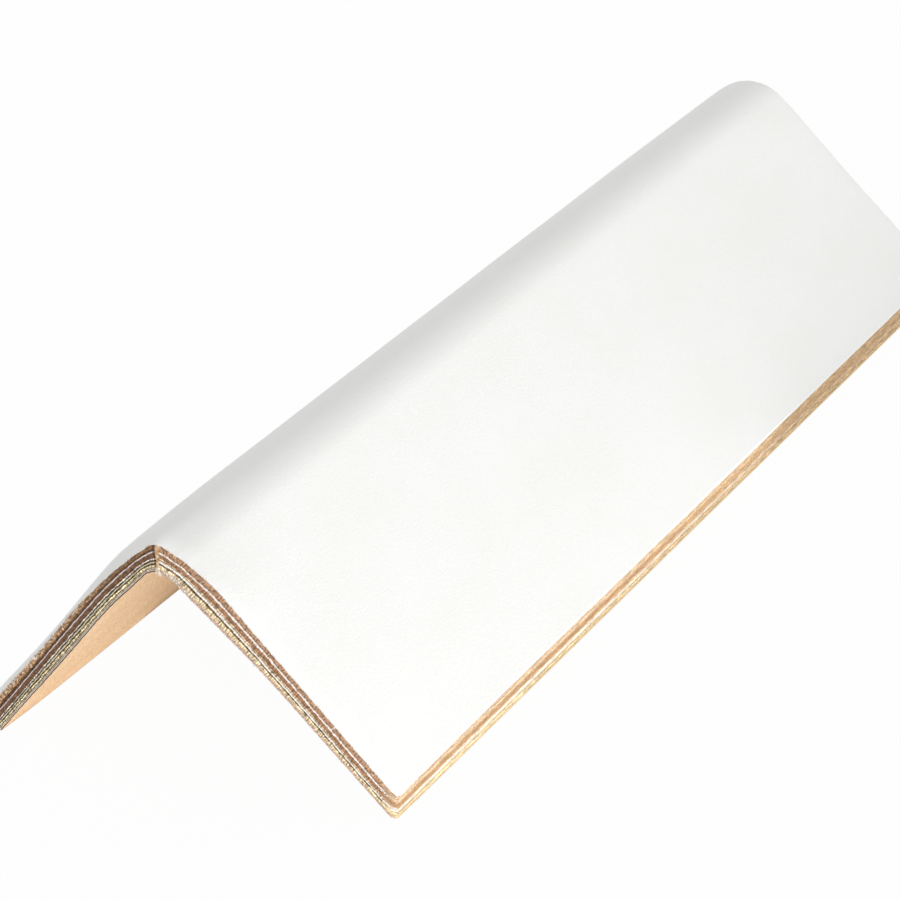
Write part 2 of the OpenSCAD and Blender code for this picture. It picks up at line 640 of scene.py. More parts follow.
def facing_paper():
    """The finish of the white sheet outside."""
    material, tree, shader = new_paper("white_facing", 0.46, 0.3)
    sheet, along, board, _ = read_mark(tree, "sheet")
    cut = read_mark(tree, "edge")[3]
    clouds = fibre_noise(tree, sheet, (12.0, 20.0, 5.0))
    mottle = fibre_noise(tree, sheet, (1.1, 2.6, 0.6), 4.0)
    tooth = fibre_noise(tree, sheet, (0.26, 0.8, 0.2), 2.0)
    colour = tint(tree, between(tree, clouds, 0.35, 0.65), PAPER_CLOUD, PAPER_WHITE)
    colour = tint(tree, between(tree, mottle, 0.3, 0.7, 0.0, 0.4), colour, PAPER_CLOUD)
    # Painted shade: the cut edge turns grey on the left half of the near end.
    edge = tint(tree, pressed_and_shaded_half(tree, along, board), PAPER_EDGE, PAINTED_SHADE_EDGE)
    colour = tint(tree, between(tree, cut, 0.12, 0.0), colour, edge)
    tree.links.new(colour, shader.inputs["Base Color"])
    emboss(tree, shader, tooth, TOOTH_HEIGHT, 1.0)
    return material


white_facing = facing_paper()
print(white_facing.name, len(white_facing.node_tree.nodes), "nodes")

# %% [markdown]
# The plies inside are recycled board. Each has its own lines of colour through its depth: one set for a
# clean cut, one for the left half of the near end, where the cutter pressed the fibres flat, with its own
# lines painted darker as painted shade, and one for the slit edges, which the running knife left paler. The
# lines waver. A clean cut has streaks across the ply where the blade dragged. The pressed half also has laid
# lines and, on the outer ply, light flecks, fewer and darker towards the crown. The slit edges have streaks
# along the board and fade into one tan towards the far end. Towards the right corner the cut bleaches out.
# Along the crease at the crown the board is torn, with a painted shadow line on its left.


# %% Lines of colour through a ply
def lines_across(tree, place, stops):
    """A colour that changes through the ply: each stop is a share of its depth with the colour there."""
    node = add(tree, "ValToRGB", {"Fac": place})
    ramp = node.color_ramp
    for element, (share, colour) in zip(ramp.elements, (stops[0], stops[-1])):
        element.position = share
        element.color = (*colour, 1.0)
    for share, colour in stops[1:-1]:
        ramp.elements.new(share).color = (*colour, 1.0)
    return node.outputs["Color"]


def uneven(tree, colour, pattern, contrast):
    """A colour made darker and lighter by a pattern."""
    strength = between(tree, pattern, 0.38, 0.62, 1.0 - 0.8 * contrast, 1.0 + contrast)
    return add(tree, "VectorMath", {0: colour, "Scale": strength}, operation="SCALE").outputs[0]


# %% The torn crease at the crown
TORN_FIBRE = (0.80, 0.58, 0.34)
CREASE_SHADE = (0.10, 0.05, 0.03)
CREASE_SLANT = 0.13
CREASE_FOOT = 3.5
SHADE_OFFSET = 0.6


def crease_distance(tree, along, depth):
    """How far right of the torn crease a point lies, in millimetres."""
    slant = combine(tree, "MULTIPLY", combine(tree, "SUBTRACT", depth, CREASE_FOOT), CREASE_SLANT)
    return combine(tree, "ADD", along, slant)


def torn_crease(tree, colour, along, board, depth):
    """Light torn fibre along the crease at the crown, and a painted shadow line beside it."""
    crease = crease_distance(tree, along, depth)
    beside = combine(tree, "ABSOLUTE", combine(tree, "ADD", crease, SHADE_OFFSET), 0.0)
    # Painted shadow: a dark line beside the torn ridge at the crown.
    shade = combine(tree, "MULTIPLY", between(tree, beside, 0.3, 0.1, 0.0, 0.75), near_cut(tree, board))
    colour = tint(tree, shade, colour, CREASE_SHADE)
    torn = between(tree, combine(tree, "ABSOLUTE", crease, 0.0), 0.38, 0.2, 0.0, 0.85)
    return tint(tree, combine(tree, "MULTIPLY", torn, near_cut(tree, board)), colour, TORN_FIBRE)


print("the crease leans over the board by mm", round(CREASE_SLANT * BOARD / MM, 2))

# %% Flecks, and the knife's streaks
FLECK_DARK = (0.56, 0.33, 0.15)
FLECK_LIGHT = (0.95, 0.88, 0.75)
NEAR_CROWN = (0.13, 0.068, 0.036)
SLIT_FADED = (0.57, 0.39, 0.22)
FADE_START = 50.0
FADE_END = 130.0
KNIFE_SHARE = 0.4


def flecked_ply(tree, pressed_and_shaded, sheet, along, place, grain):
    """The pressed outer ply with painted shade: light flecks on its outer side, fewer and darker towards the
    crown.
    """
    pressed_and_shaded = tint(tree, between(tree, along, -26.0, -10.0, 0.0, 0.6), pressed_and_shaded, NEAR_CROWN)
    cells = fibre_noise(tree, sheet, (0.44, 0.8, 0.42), 2.0)
    lit = combine(tree, "MULTIPLY", between(tree, cells, 0.52, 0.58), between(tree, place, 0.68, 0.56))
    lit = combine(tree, "MULTIPLY", lit, between(tree, along, -24.0, -9.0, 1.0, 0.15))
    fleck = tint(tree, between(tree, grain, 0.42, 0.6), FLECK_DARK, FLECK_LIGHT)
    return tint(tree, lit, pressed_and_shaded, fleck)


def knife_streaks(tree, slit, sheet, board, grain, contrast):
    """The slit edge: streaks along the board, and one faded tan towards the far end."""
    knife = fibre_noise(tree, sheet, (1.0, 2.6, 0.30))
    slit = tint(tree, between(tree, board, FADE_START, FADE_END, 0.0, 0.8), slit, SLIT_FADED)
    return uneven(tree, uneven(tree, slit, knife, KNIFE_SHARE * contrast), grain, KNIFE_SHARE * contrast)


print("the slit edge fades from", FADE_START, "to", FADE_END, "mm along the board")

# %% Recycled board
WAVER = 0.06 * MM
BOARD_RELIEF = 0.10 * MM
LAID_SHARE = 0.8


def recycled_board(node, contrast, flecked=False):
    """The finish of one ply, from its lines of colour and from how uneven they are."""
    material, tree, shader = new_paper(node + "_board", 0.88, 0.15)
    sheet, along, board, depth = read_mark(tree, "sheet")
    _, share, slit_distance, _ = read_mark(tree, "edge")
    dragged = fibre_noise(tree, sheet, (0.24, 0.6, 0.9))
    laid = fibre_noise(tree, sheet, (1.8, 2.4, 0.12))
    grain = fibre_noise(tree, sheet, (0.30, 0.5, 0.14))
    waver = fibre_noise(tree, sheet, (0.8, 1.8, 0.3))
    sway = WAVER / THICKNESS[node]
    place = combine(tree, "ADD", share, between(tree, waver, 0.3, 0.7, -sway, sway))
    clean, pressed_and_shaded, slit = (lines_across(tree, place, stops) for stops in LINES_OF_COLOUR[node])
    clean = uneven(tree, clean, dragged, contrast)
    pressed_and_shaded = uneven(tree, uneven(tree, pressed_and_shaded, dragged, contrast), laid, LAID_SHARE * contrast)
    if flecked:
        pressed_and_shaded = flecked_ply(tree, pressed_and_shaded, sheet, along, place, grain)
    # Painted shade: the left half of the near cut takes the darker pressed lines of colour.
    colour = tint(tree, pressed_and_shaded_half(tree, along, board), clean, pressed_and_shaded)
    slit = knife_streaks(tree, slit, sheet, board, grain, contrast)
    frayed = combine(tree, "ADD", slit_distance, between(tree, dragged, 0.35, 0.65, -0.9, 0.9))
    corner = combine(tree, "MULTIPLY", between(tree, frayed, 3.2, 0.3), between(tree, along, 0.0, 1.0))
    colour = tint(tree, corner, colour, slit)
    colour = torn_crease(tree, colour, along, board, depth)
    tree.links.new(colour, shader.inputs["Base Color"])
    relief = combine(tree, "ADD", combine(tree, "ADD", laid, grain), dragged)
    emboss(tree, shader, relief, BOARD_RELIEF, between(tree, slit_distance, 0.1, 0.4, 0.3, 0.8))
    return material


# %% [markdown]
# The lines of each ply follow, from its outer side inwards, in the order clean, pressed and slit. The
# pressed lines have their own pattern and are painted darker as painted shade. On the near end two white
# lines stand out. On the slit edges only the lower one does, and it is twice as thick there.

# %% The lines of the outer plies
LINES_OF_COLOUR = {}
LINES_OF_COLOUR["outer_ply"] = (
    ((0.0, (0.47, 0.29, 0.185)), (0.6, (0.42, 0.24, 0.145)), (0.88, (0.34, 0.19, 0.11)),
     (0.97, (0.84, 0.77, 0.72))),
    ((0.0, (0.34, 0.19, 0.10)), (0.5, (0.36, 0.20, 0.09)), (0.6, (0.26, 0.14, 0.06)),
     (0.7, (0.11, 0.055, 0.028)), (1.0, (0.10, 0.05, 0.028))),
    ((0.0, (0.50, 0.32, 0.20)), (0.15, (0.61, 0.45, 0.31)), (0.5, (0.56, 0.39, 0.25)),
     (0.7, (0.70, 0.56, 0.37)), (1.0, (0.48, 0.31, 0.18))),
)
LINES_OF_COLOUR["pale_ply"] = (
    ((0.0, (0.93, 0.91, 0.89)), (1.0, (0.93, 0.91, 0.89))),
    ((0.0, (0.50, 0.42, 0.39)), (0.5, (0.84, 0.80, 0.82)), (1.0, (0.48, 0.40, 0.36))),
    ((0.0, (0.54, 0.34, 0.19)), (1.0, (0.46, 0.27, 0.14))),
)
LINES_OF_COLOUR["second_ply"] = (
    ((0.0, (0.90, 0.86, 0.82)), (0.09, (0.66, 0.52, 0.41)), (0.17, (0.38, 0.205, 0.115)),
     (1.0, (0.35, 0.185, 0.10))),
    ((0.0, (0.30, 0.24, 0.23)), (0.09, (0.16, 0.085, 0.05)), (0.6, (0.19, 0.10, 0.055)),
     (1.0, (0.12, 0.062, 0.036))),
    ((0.0, (0.45, 0.25, 0.13)), (0.5, (0.51, 0.30, 0.155)), (0.85, (0.62, 0.41, 0.24)),
     (1.0, (0.76, 0.58, 0.38))),
)
LINES_OF_COLOUR["third_ply"] = (
    ((0.0, (0.58, 0.40, 0.25)), (0.15, (0.93, 0.82, 0.66)), (0.48, (0.90, 0.78, 0.60)),
     (0.64, (0.42, 0.30, 0.20)), (1.0, (0.56, 0.42, 0.29))),
    ((0.0, (0.20, 0.13, 0.08)), (0.05, (0.96, 0.92, 0.82)), (0.64, (0.96, 0.91, 0.79)),
     (0.76, (0.06, 0.036, 0.02)), (1.0, (0.055, 0.034, 0.02))),
    ((0.0, (0.74, 0.56, 0.37)), (0.25, (0.92, 0.86, 0.76)), (1.0, (0.92, 0.87, 0.78))),
)
print("colour lines for", list(LINES_OF_COLOUR))

# %% The lines of the inner plies
LINES_OF_COLOUR["cream_ply"] = (
    ((0.0, (0.70, 0.60, 0.47)), (0.2, (0.95, 0.93, 0.87)), (0.85, (0.94, 0.91, 0.82)),
     (1.0, (0.50, 0.38, 0.25))),
    ((0.0, (0.055, 0.036, 0.02)), (0.38, (0.07, 0.048, 0.027)), (0.56, (0.66, 0.58, 0.41)),
     (1.0, (0.68, 0.60, 0.43))),
    ((0.0, (0.92, 0.87, 0.78)), (0.6, (0.91, 0.84, 0.72)), (1.0, (0.82, 0.67, 0.45))),
)
LINES_OF_COLOUR["fourth_ply"] = (
    ((0.0, (0.32, 0.215, 0.135)), (0.5, (0.15, 0.095, 0.055)), (1.0, (0.30, 0.20, 0.12))),
    ((0.0, (0.66, 0.58, 0.41)), (0.22, (0.60, 0.52, 0.36)), (0.46, (0.07, 0.046, 0.026)),
     (1.0, (0.075, 0.05, 0.028))),
    ((0.0, (0.78, 0.58, 0.34)), (0.5, (0.54, 0.34, 0.17)), (1.0, (0.82, 0.62, 0.36))),
)
LINES_OF_COLOUR["inner_ply"] = (
    ((0.0, (0.24, 0.15, 0.08)), (0.14, (0.84, 0.73, 0.50)), (0.40, (0.82, 0.70, 0.46)),
     (0.52, (0.58, 0.40, 0.23)), (0.62, (0.80, 0.64, 0.41)), (0.85, (0.70, 0.52, 0.34)),
     (1.0, (0.56, 0.40, 0.28))),
    ((0.0, (0.09, 0.06, 0.034)), (0.06, (0.30, 0.22, 0.12)), (0.16, (0.78, 0.69, 0.45)),
     (0.40, (0.72, 0.62, 0.39)), (0.52, (0.12, 0.08, 0.045)), (0.66, (0.11, 0.075, 0.04)),
     (0.74, (0.62, 0.53, 0.36)), (0.87, (0.56, 0.48, 0.35)), (0.95, (0.10, 0.065, 0.04)),
     (1.0, (0.09, 0.06, 0.04))),
    ((0.0, (0.88, 0.71, 0.44)), (0.5, (0.92, 0.78, 0.51)), (0.68, (0.84, 0.66, 0.40)),
     (0.82, (0.58, 0.38, 0.20)), (1.0, (0.84, 0.65, 0.40))),
)
print("colour lines for", list(LINES_OF_COLOUR))

# %% [markdown]
# The kraft lining is unbleached paper: warm tan, with short pale fibres and fine brown specks. Its cut edge
# is painted dark as painted shade, with a pale line in it, on the pressed half, and is a pinkish grey on the
# other. The knife left its slit edge pale.

# %% Kraft lining
KRAFT = (0.82, 0.60, 0.38)
KRAFT_CLOUD = (0.74, 0.52, 0.31)
KRAFT_SPECK = (0.44, 0.26, 0.125)
KRAFT_FIBRE = (0.93, 0.78, 0.58)
# Painted shade: the dark lines of the lining's cut edge on the pressed half.
PRESSED_SHADED_EDGE_LINES = ((0.0, (0.18, 0.13, 0.10)), (0.10, (0.70, 0.63, 0.58)), (0.40, (0.70, 0.63, 0.58)),
              (0.52, (0.06, 0.036, 0.03)), (0.92, (0.06, 0.036, 0.03)), (1.0, (0.34, 0.23, 0.16)))
EDGE_PINK = (0.55, 0.41, 0.33)
SLIT_PALE = (0.88, 0.73, 0.49)
KRAFT_RELIEF = 0.05 * MM


def kraft_lining():
    """The finish of the tan sheet inside."""
    material, tree, shader = new_paper("kraft_lining", 0.75, 0.2)
    sheet, along, board, _ = read_mark(tree, "sheet")
    _, share, slit_distance, cut = read_mark(tree, "edge")
    clouds = fibre_noise(tree, sheet, (8.0, 13.0, 4.0))
    specks = fibre_noise(tree, sheet, (0.30, 0.55, 0.4))
    fibres = fibre_noise(tree, sheet, (0.34, 1.1, 0.4))
    colour = tint(tree, between(tree, clouds, 0.35, 0.65), KRAFT_CLOUD, KRAFT)
    colour = tint(tree, between(tree, specks, 0.50, 0.64, 0.0, 0.7), colour, KRAFT_SPECK)
    colour = tint(tree, between(tree, fibres, 0.52, 0.66, 0.0, 0.6), colour, KRAFT_FIBRE)
    lines = lines_across(tree, share, PRESSED_SHADED_EDGE_LINES)
    # The pressed half of the cut edge takes the dark lines, as painted shade.
    edge = tint(tree, pressed_and_shaded_half(tree, along, board), uneven(tree, EDGE_PINK, specks, 0.3), lines)
    colour = tint(tree, between(tree, cut, 0.05, 0.02), colour, edge)
    colour = tint(tree, between(tree, slit_distance, 0.10, 0.03), colour, SLIT_PALE)
    tree.links.new(colour, shader.inputs["Base Color"])
    emboss(tree, shader, combine(tree, "ADD", specks, fibres), KRAFT_RELIEF, 0.8)
    return material


kraft_inside = kraft_lining()
print(kraft_inside.name, len(kraft_inside.node_tree.nodes), "nodes")

# %% The finish of each layer
FINISHES = {
    "white_liner": (white_facing, "white_paper"),
    "outer_ply": (recycled_board("outer_ply", 0.6, True), "brown_board"),
    "pale_ply": (recycled_board("pale_ply", 0.12), "pale_paper"),
    "second_ply": (recycled_board("second_ply", 0.5), "brown_board"),
    "third_ply": (recycled_board("third_ply", 0.6), "tan_board"),
    "cream_ply": (recycled_board("cream_ply", 0.35), "pale_paper"),
    "fourth_ply": (recycled_board("fourth_ply", 0.8), "dark_board"),
    "inner_ply": (recycled_board("inner_ply", 0.7), "tan_board"),
    "kraft_liner": (kraft_inside, "kraft_paper"),
}
print("finishes", len(FINISHES))

# %% [markdown]
# ## Making the nine sheets
#
# Each sheet replaces its clean node. A ply that the blade tore stands a little proud or behind, by its own
# amount.


# %% Mark a sheet and finish a piece
def mark_sheet(bm, depth, thickness):
    """Keeps the sheet coordinates of every vertex, and its place in the ply and from the cut edges."""
    sheet_layer = bm.verts.layers.float_vector.new("sheet")
    edge_layer = bm.verts.layers.float_vector.new("edge")
    for vert in bm.verts:
        sheet = sheet_coordinates(vert.co)
        vert[sheet_layer] = sheet
        share = MM * (sheet.z - depth) / thickness
        vert[edge_layer] = (share, tip_at(sheet.z) - abs(sheet.x), min(sheet.y, LENGTH - sheet.y))


def finish_piece(bm, name, material, slot):
    """Makes the mesh an object with its material, and lets it ride on the one body."""
    mesh = bpy.data.meshes.new(name)
    bm.to_mesh(mesh)
    bm.free()
    mesh.materials.append(material)
    piece = bpy.data.objects.new(name, mesh)
    bpy.context.collection.objects.link(piece)
    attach(piece, "root")
    print(name, len(mesh.polygons), "faces")
    return piece


# %% Build every sheet
STAND_PROUD = {
    "white_liner": -0.03, "outer_ply": 0.10, "pale_ply": 0.05, "second_ply": 0.04, "third_ply": -0.06,
    "cream_ply": 0.05, "fourth_ply": -0.16, "inner_ply": 0.04, "kraft_liner": 0.06,
}
RAGGEDNESS = {"white_liner": 0.05, "pale_ply": 0.10, "cream_ply": 0.10, "kraft_liner": 0.10}
USUAL_RAGGEDNESS = 0.20
ROW = 0.22 * MM
REFINED = 1.3 * MM
REFINE_CUTS = 4
SHARP = math.radians(38)
SALT = 7.3


def make_sheet(node, depth, thickness, salt):
    """One worn sheet, as an object that stands for its node."""
    middle = depth + thickness / 2
    run = tip_at(middle) - SHOULDER
    bm = bmesh.new()
    folded_strip(bm, OUTSIDE_RADIUS - depth, thickness, run, max(1, round(thickness / ROW)))
    sweep_along_board(bm)
    refine_ends(bm, REFINED, REFINE_CUTS)
    shear_tips(bm, middle, run)
    mark_sheet(bm, depth, thickness)
    wear(bm, STAND_PROUD[node] * MM, RAGGEDNESS.get(node, USUAL_RAGGEDNESS) * MM, salt)
    bm.normal_update()
    for edge in bm.edges:
        edge.smooth = edge.is_manifold and edge.calc_face_angle() < SHARP
    for face in bm.faces:
        face.smooth = True
    piece = finish_piece(bm, node + "_sheet", *FINISHES[node])
    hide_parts(node)


for index, node in enumerate(SHEETS):
    make_sheet(node, DEPTHS[node], THICKNESS[node], index * SALT * MM)

# %% [markdown]
# ## Loose fibre
#
# A blade leaves paperboard hairy. Crumbs of brown ply stand over the edge of the facing, fine fibres lie on
# the cut, and a light fuzz follows the slit edges. Each fibre is a thin four-sided cone. It keeps a tone,
# from dark to light, that its finish turns into a colour.

# %% Slivers and flakes
SEED = 11
chance = random.Random(SEED)


def jitter(spread):
    """A random number within a spread to either side of zero."""
    return chance.uniform(-spread, spread)


def sliver(bm, layer, root, direction, length, radius, tone, point=0.35):
    """One thin cone that grows from its root, with a tip as wide as the given share of its root."""
    direction = direction.normalized()
    turn = direction.to_track_quat("Z", "Y").to_matrix().to_4x4()
    place = Matrix.Translation(root + 0.5 * length * direction) @ turn
    made = bmesh.ops.create_cone(bm, cap_ends=True, segments=4, radius1=radius, radius2=point * radius,
                                 depth=length, matrix=place)
    for vert in made["verts"]:
        vert[layer] = tone


def flake(bm, layer, place, size, tone):
    """A small crumpled scrap, from a rough ball."""
    stretch = Matrix.Diagonal((*size, 1.0))
    made = bmesh.ops.create_icosphere(bm, subdivisions=1, radius=1.0, matrix=stretch)["verts"]
    for vert in made:
        vert.co *= 1.0 + jitter(0.35)
        vert[layer] = tone
    turn = Matrix.Rotation(jitter(0.6), 3, "Y") @ Matrix.Rotation(jitter(0.5), 3, "Z")
    bmesh.ops.rotate(bm, verts=made, cent=(0, 0, 0), matrix=turn)
    bmesh.ops.translate(bm, verts=made, vec=place)


# %% Where fibres grow, and their finish
def cut_point(along, depth, far):
    """A point on the worn cut at either end."""
    press = far_press if far else near_press
    point = on_section(along, depth) - press(along, 0.0, depth) * outward(along)
    point.y = FAR if far else NEAR
    return point


def new_fibres():
    """An empty mesh whose vertices keep a tone."""
    bm = bmesh.new()
    return bm, bm.verts.layers.float.new("tone")


def fibre_finish(name, dark_fibre, light_fibre):
    """Fibre coloured by the tone that each sliver keeps."""
    material, tree, shader = new_paper(name, 0.9, 0.15)
    tone = add(tree, "Attribute", attribute_name="tone")
    tree.links.new(tint(tree, tone.outputs["Fac"], dark_fibre, light_fibre), shader.inputs["Base Color"])
    return material


brown_fibre = fibre_finish("brown_fibre", (0.11, 0.055, 0.028), (0.70, 0.46, 0.26))
print("fibre finish", brown_fibre.name)

# %% [markdown]
# A row of crumbs has a start and an end along the section, and says whether it is at the far end. Then
# come its spacing and the ranges of length, radius and tone.

# %% Crumbs over the facing's edge
LEG_END = SHOULDER + LEG_RUN
PLY_TOP = DEPTHS["outer_ply"]
CORNER = LEG_END - 2 * MM
BESIDE_CROWN = 0.8 * MM
CRUMB_DEPTH = 0.35
BLUNT = 0.7
CRUMB_ROWS = (
    (-LEG_END, -BESIDE_CROWN, False, 0.36 * MM, (0.08, 0.24), (0.06, 0.12), (0.0, 0.8)),
    (BESIDE_CROWN, CORNER, False, 0.16 * MM, (0.12, 0.32), (0.03, 0.08), (0.35, 0.9)),
    (-LEG_END, LEG_END, True, 0.5 * MM, (0.15, 0.40), (0.04, 0.09), (0.25, 0.75)),
)


def crumb(bm, layer, along, far, length, radius, tone):
    """A short sliver of the outer ply, leaning out over the facing."""
    away = 1.0 if far else -1.0
    lean = outward(along) + Vector((0.0, 0.35 * away, 0.0)) + jitter(0.45) * down_leg(along)
    root = cut_point(along, PLY_TOP + chance.uniform(0.0, CRUMB_DEPTH) * MM, far)
    sliver(bm, layer, root, lean, length * MM, radius * MM, tone, BLUNT)


def crumbs(bm, layer, start, end, far, spacing, lengths, radii, tones):
    """A row of crumbs between two places along the section."""
    along = start
    while along < end:
        along += spacing * chance.uniform(0.4, 1.6)
        length, radius, tone = (chance.uniform(*span) for span in (lengths, radii, tones))
        crumb(bm, layer, along, far, length, radius, tone)


bm, layer = new_fibres()
for row in CRUMB_ROWS:
    crumbs(bm, layer, *row)
finish_piece(bm, "outer_ply_crumbs", brown_fibre, "brown_board")

# %% Fine fibres on the cut
FIBRES_NEAR = 1500
FIBRES_FAR = 500


def cut_fibres(bm, layer, far, count):
    """Fine slivers on the cut, most of them dragged across the plies, and darker on the pressed half as
    painted shade.
    """
    away = 1.0 if far else -1.0
    for _ in range(count):
        along = jitter(LEG_END)
        depth = chance.uniform(0.15, 0.98) * BOARD
        lean = jitter(1.0) * outward(along) + jitter(0.5) * down_leg(along) + Vector((0.0, 0.30 * away, 0.0))
        tone = chance.random() ** 1.3
        # Painted shade: fibres on the left half of the near cut get darker tones.
        if along < 0 and not far:
            tone = tone ** 2
        length = chance.uniform(0.15, 0.45) * MM
        radius = chance.uniform(0.02, 0.045) * MM
        sliver(bm, layer, cut_point(along, depth, far), lean, length, radius, tone)


bm, layer = new_fibres()
cut_fibres(bm, layer, False, FIBRES_NEAR)
cut_fibres(bm, layer, True, FIBRES_FAR)
finish_piece(bm, "cut_fibres", brown_fibre, "brown_board")

# %% Fuzz on the slit edges
FUZZ = 420
FUZZ_HEIGHT = 0.6 * MM


def slit_fuzz(bm, layer, count):
    """Short fine fibres along both slit edges, most of them near the outer ply."""
    for _ in range(count):
        side = chance.choice((-1.0, 1.0))
        depth = BOARD * (0.1 + 0.85 * chance.random() ** 1.5)
        along = side * tip_at(depth)
        root = on_section(along, depth)
        root.y = chance.uniform(NEAR, FAR)
        lean = down_leg(along) + jitter(0.8) * outward(along) + Vector((0.0, jitter(1.2), 0.0))
        if root.z > FUZZ_HEIGHT:
            length = chance.uniform(0.12, 0.35) * MM
            radius = chance.uniform(0.02, 0.04) * MM
            sliver(bm, layer, root, lean, length, radius, chance.uniform(0.5, 1.0))


bm, layer = new_fibres()
slit_fuzz(bm, layer, FUZZ)
finish_piece(bm, "slit_edge_fuzz", brown_fibre, "brown_board")

# %% [markdown]
# ## Torn paper
#
# At the crown the two pressed halves of the cut meet in a ridge of torn light fibre, and a scrap of white
# paper hangs from its foot. Bits of the white facing are pulled over the edge at a few nicks and at the
# frayed right corner. On the left leg they make a fringe along the facing, and white shows where the lining
# came away beside the crown.

# %% The torn ridge
RIDGE_FLAKES = 34
RIDGE_FIBRE = 0.05 * MM
torn_fibre = fibre_finish("torn_fibre", (0.56, 0.30, 0.12), (0.93, 0.86, 0.72))


def crease_point(depth):
    """A point of the crease at the crown, which slants to the left as it goes down."""
    along = -CREASE_SLANT * (depth - CREASE_FOOT * MM)
    return cut_point(along, depth, False)


bm, layer = new_fibres()
for index in range(RIDGE_FLAKES):
    depth = PLY_TOP + (BOARD - PLY_TOP) * (index + chance.random()) / RIDGE_FLAKES
    place = crease_point(depth) + Vector((jitter(0.18), -chance.uniform(0.02, 0.18), 0.0)) * MM
    spans = ((0.16, 0.34), (0.08, 0.17), (0.08, 0.20))
    size = Vector([chance.uniform(*span) for span in spans]) * MM
    tone = chance.choice((chance.uniform(0.0, 0.3), chance.uniform(0.6, 1.0)))
    flake(bm, layer, place, size, tone)
    lean = Vector((jitter(0.5), -0.5, jitter(1.0)))
    length = chance.uniform(0.2, 0.4) * MM
    sliver(bm, layer, place, lean, length, RIDGE_FIBRE, chance.uniform(0.3, 1.0))
finish_piece(bm, "torn_crown_ridge", torn_fibre, "tan_board")

# %% [markdown]
# A row of scraps has a start and an end along the section, in millimetres from the crown, a count, and the
# ranges of depth and width. The rows are the nicks, the fringe, the right corner and the lining beside the
# crown.

# %% Scraps of white paper
NICKS = (-33.0, 19.2, 34.3, 42.5)
NICK_REACH = 0.15
SCRAP_ROWS = [(nick - NICK_REACH, nick + NICK_REACH, 6, (0.2, 1.0), (0.06, 0.16)) for nick in NICKS]
SCRAP_ROWS += [
    (-43.0, -17.0, 110, (0.28, 0.5), (0.05, 0.15)),
    (44.3, 46.0, 14, (0.3, 2.6), (0.04, 0.11)),
    (1.5, 9.0, 42, (3.45, 3.8), (0.08, 0.22)),
]
SCRAP_THICKNESS = 0.05
HANGING_FIBRES = 16
HANGING_RADIUS = 0.08 * MM
white_scrap = fibre_finish("white_scrap", (0.72, 0.60, 0.50), (0.93, 0.92, 0.90))


def scraps_along(bm, layer, start, end, count, depths, widths):
    """White flakes between two places along the section, pressed flat on the cut."""
    for _ in range(count):
        along = chance.uniform(start, end) * MM
        place = cut_point(along, chance.uniform(*depths) * MM, False)
        place.y -= chance.uniform(0.02, 0.12) * MM
        size = Vector((chance.uniform(*widths), SCRAP_THICKNESS, chance.uniform(*widths))) * MM
        flake(bm, layer, place, size, chance.uniform(0.1, 1.0))


def hanging_scrap(bm, layer, foot):
    """A tuft of white fibres that hangs from the foot of the crease."""
    for _ in range(HANGING_FIBRES):
        root = foot + Vector((jitter(0.24), -chance.uniform(0.0, 0.15), chance.uniform(0.3, 0.9))) * MM
        lean = Vector((jitter(0.3) - 0.1, -0.12, -1.0))
        length = chance.uniform(0.5, 1.1) * MM
        sliver(bm, layer, root, lean, length, HANGING_RADIUS, chance.uniform(0.6, 1.0))


bm, layer = new_fibres()
for row in SCRAP_ROWS:
    scraps_along(bm, layer, *row)
hanging_scrap(bm, layer, crease_point(BOARD))
finish_piece(bm, "white_scraps", white_scrap, "pale_paper")

# %% [markdown]
# ## Camera
#
# The place, the aim and the roll come from fitting the board's straight edges to the picture.

# %% Camera
EYE = Vector((257.78, -409.03, 240.02)) * MM
AIM = Vector((5.33, -24.86, 20.08)) * MM
ROLL = math.radians(-6.654)
SENSOR = 36.0
FOCAL_LENGTH = 134.9
lens = bpy.data.cameras.new("camera")
lens.sensor_width = SENSOR
lens.lens = FOCAL_LENGTH
camera = bpy.data.objects.new("camera", lens)
bpy.context.collection.objects.link(camera)
turn = (AIM - EYE).to_track_quat("-Z", "Y").to_matrix().to_4x4()
camera.matrix_world = Matrix.Translation(EYE) @ turn @ Matrix.Rotation(ROLL, 4, "Z")
bpy.context.scene.camera = camera
print("camera at", [round(value, 3) for value in camera.location])

# %% [markdown]
# ## Floor, backdrop and light
#
# A pale floor catches a soft shadow. The camera sees the floor and the world as white where nothing shades
# them: most of what it sees of the floor is a plain white glow, and the rest is the floor's own shading,
# which keeps the object's shadow. The room is evenly lit. A low lamp on the right and a card of light on
# the floor there brighten the right leg and the slit edge, and leave the top of the fold grey. A second
# card runs beside the slit edge and stops short of its far end, which stays darker. Two more, under the
# board, light its inside.

# %% Stage
FLOOR_SIZE = 4.0
FLOOR_WHITE = (0.92, 0.92, 0.92, 1.0)
WHITE = (1.0, 1.0, 1.0, 1.0)
GLOW_SHARE = 0.97


def seen_rays(tree):
    """1 for rays from the camera and for mirrored or refracted ones, 0 for light on the object."""
    path = add(tree, "LightPath")
    gloss = combine(tree, "MAXIMUM", path.outputs["Is Glossy Ray"], path.outputs["Is Transmission Ray"])
    return combine(tree, "MAXIMUM", path.outputs["Is Camera Ray"], gloss)


def floor_paper():
    """A matt white floor that the camera sees as white, less the object's shadow."""
    material, tree, shader = new_paper("floor_paper", 0.9, 0.1)
    shader.inputs["Base Color"].default_value = FLOOR_WHITE
    glow = add(tree, "Emission", {"Color": WHITE, "Strength": 1.0})
    share = combine(tree, "MULTIPLY", seen_rays(tree), GLOW_SHARE)
    both = add(tree, "MixShader", {0: share, 1: shader.outputs[0], 2: glow.outputs[0]})
    tree.links.new(both.outputs[0], tree.nodes["Material Output"].inputs["Surface"])
    return material


